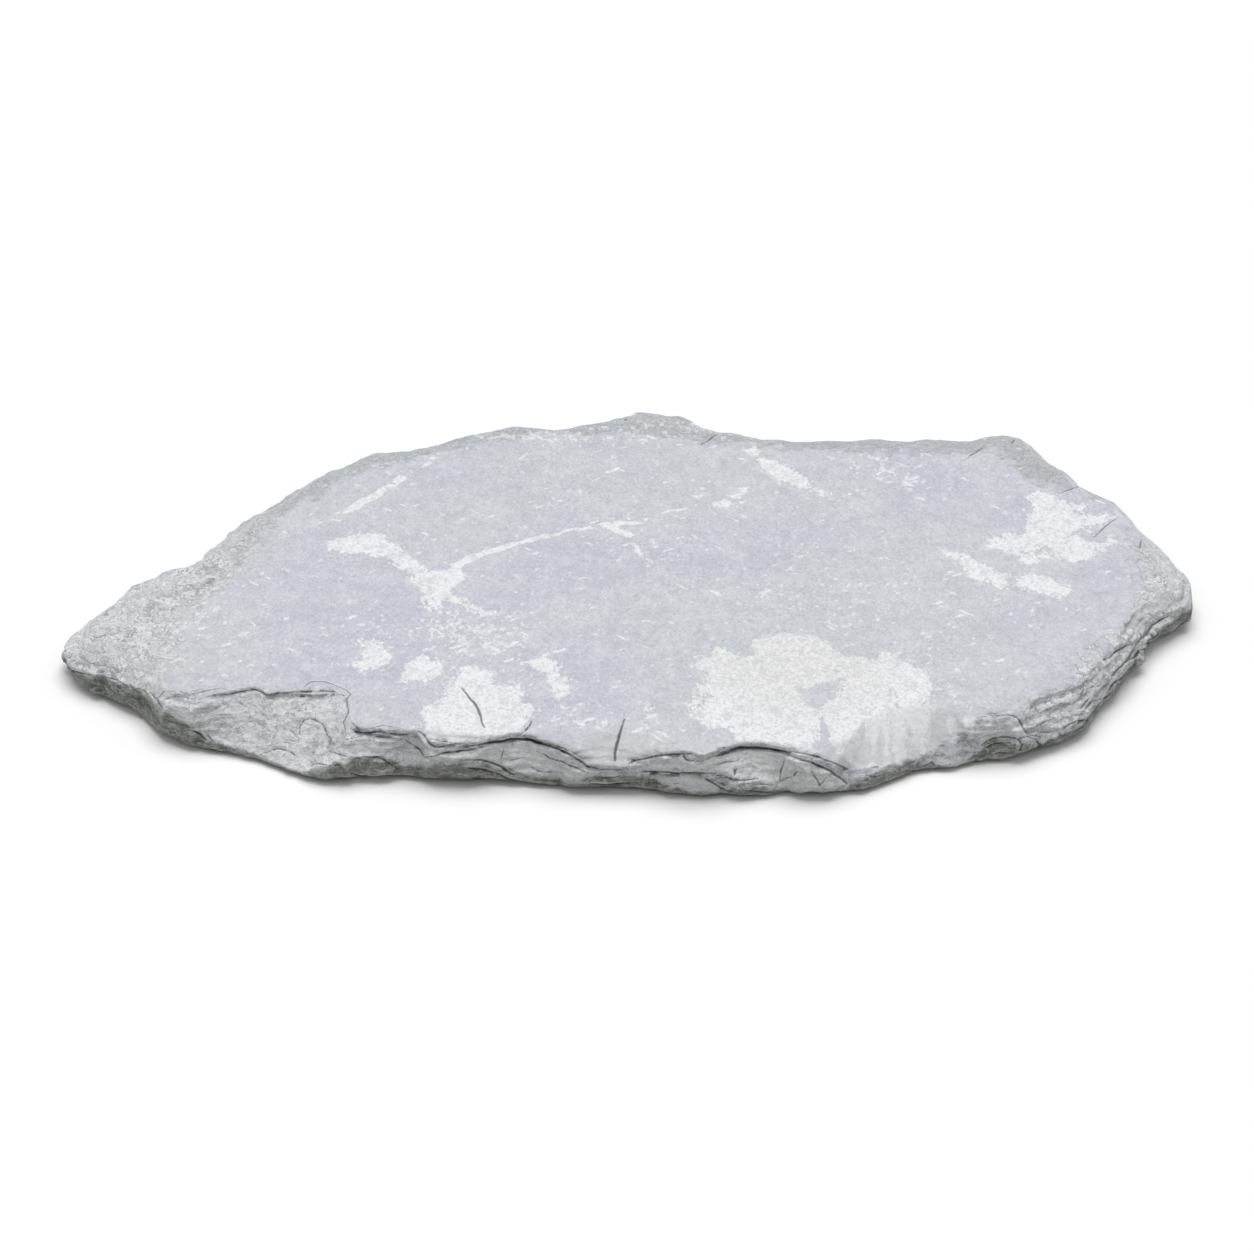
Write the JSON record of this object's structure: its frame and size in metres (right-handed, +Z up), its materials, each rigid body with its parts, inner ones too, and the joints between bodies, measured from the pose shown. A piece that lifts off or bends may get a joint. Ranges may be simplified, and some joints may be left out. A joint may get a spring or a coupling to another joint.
{
  "type": "slate flagstone",
  "caption": "Irregular riven slate flagstone with broken layered edges and a flat underside, laid as paving, a path or a stepping stone.",
  "frame": {"origin": "bottom centre of the stone's bounding box, on the level the stone rests on", "axes": "+X along the stone's length, +Y towards its back edge in the picture, +Z up out of the riven upper face"},
  "size_m": [0.6066, 0.4226, 0.027],
  "materials": {
    "slate": "matt riven slate, pale blue-grey with near-white veins and patches"
  },
  "bodies": {
    "root": {"flagstone": "slate"}
  },
  "joints": []
}
